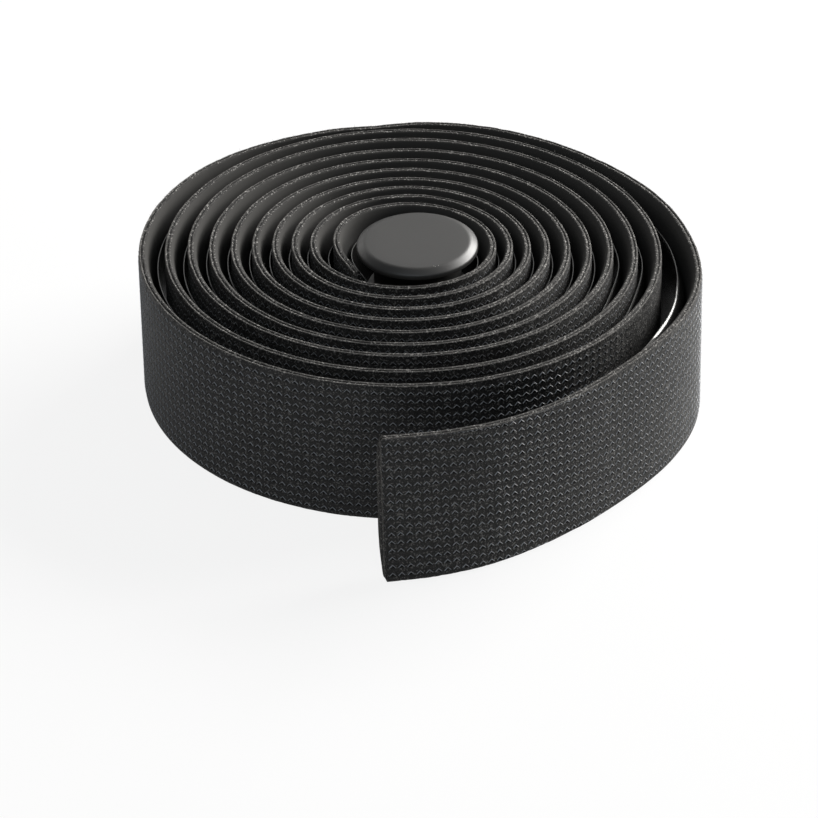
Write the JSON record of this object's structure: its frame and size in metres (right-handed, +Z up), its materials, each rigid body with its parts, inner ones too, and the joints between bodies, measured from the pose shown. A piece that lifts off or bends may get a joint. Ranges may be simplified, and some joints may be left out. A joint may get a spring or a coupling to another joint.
{
  "type": "handlebar tape roll",
  "caption": "Padded embossed handlebar tape wound on edge into a loose spiral with a free tail, its release liner still on, and a bar end plug standing in its core.",
  "frame": {"origin": "centre of the roll's outline on the plane that its lower edge stands on", "axes": "+Z up along the winding's axis, -Y towards the free tail"},
  "size_m": [0.1082, 0.1178, 0.0321],
  "materials": {
    "tape": "matte embossed foam",
    "liner": "gloss film",
    "plug": "satin moulded"
  },
  "bodies": {
    "root": {"tape": "tape", "release_liner": "liner", "bar_end_plug": "plug"}
  },
  "joints": []
}
